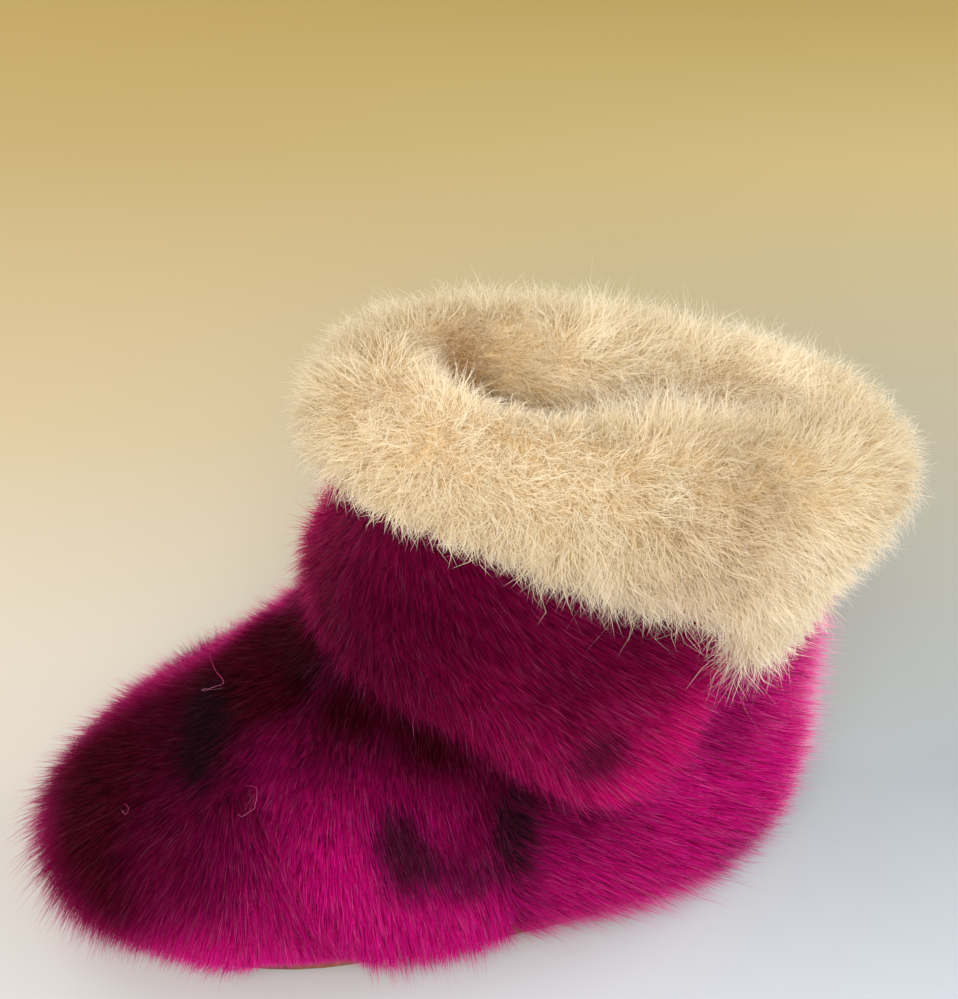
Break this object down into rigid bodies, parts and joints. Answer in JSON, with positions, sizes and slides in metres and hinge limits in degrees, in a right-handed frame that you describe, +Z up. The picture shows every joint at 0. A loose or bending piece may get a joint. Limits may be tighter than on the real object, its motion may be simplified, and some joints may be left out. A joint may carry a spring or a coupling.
{
  "type": "child slipper",
  "caption": "Child's fur slipper boot: soft rounded foot, slouched ankle cuff and thick rolled shearling collar round a narrow opening, on a thin flat leather sole.",
  "frame": {"origin": "on the floor under the middle of the foot, on the sole's flat underside", "axes": "-Y towards the toe, +Y towards the heel, +X towards the outer side of the left foot, +Z up"},
  "size_m": [0.0746, 0.167, 0.1216],
  "materials": {
    "dyed_fur": "short glossy fur on skin, dyed magenta with dark spots",
    "shearling": "long soft cream wool pile",
    "sole_leather": "thin matt tan leather",
    "fleece": "clipped cream wool fleece"
  },
  "bodies": {
    "root": {"upper": "dyed_fur", "ankle_cuff": "dyed_fur", "fur_collar": "shearling", "sole": "sole_leather", "insole": "fleece"}
  },
  "joints": []
}
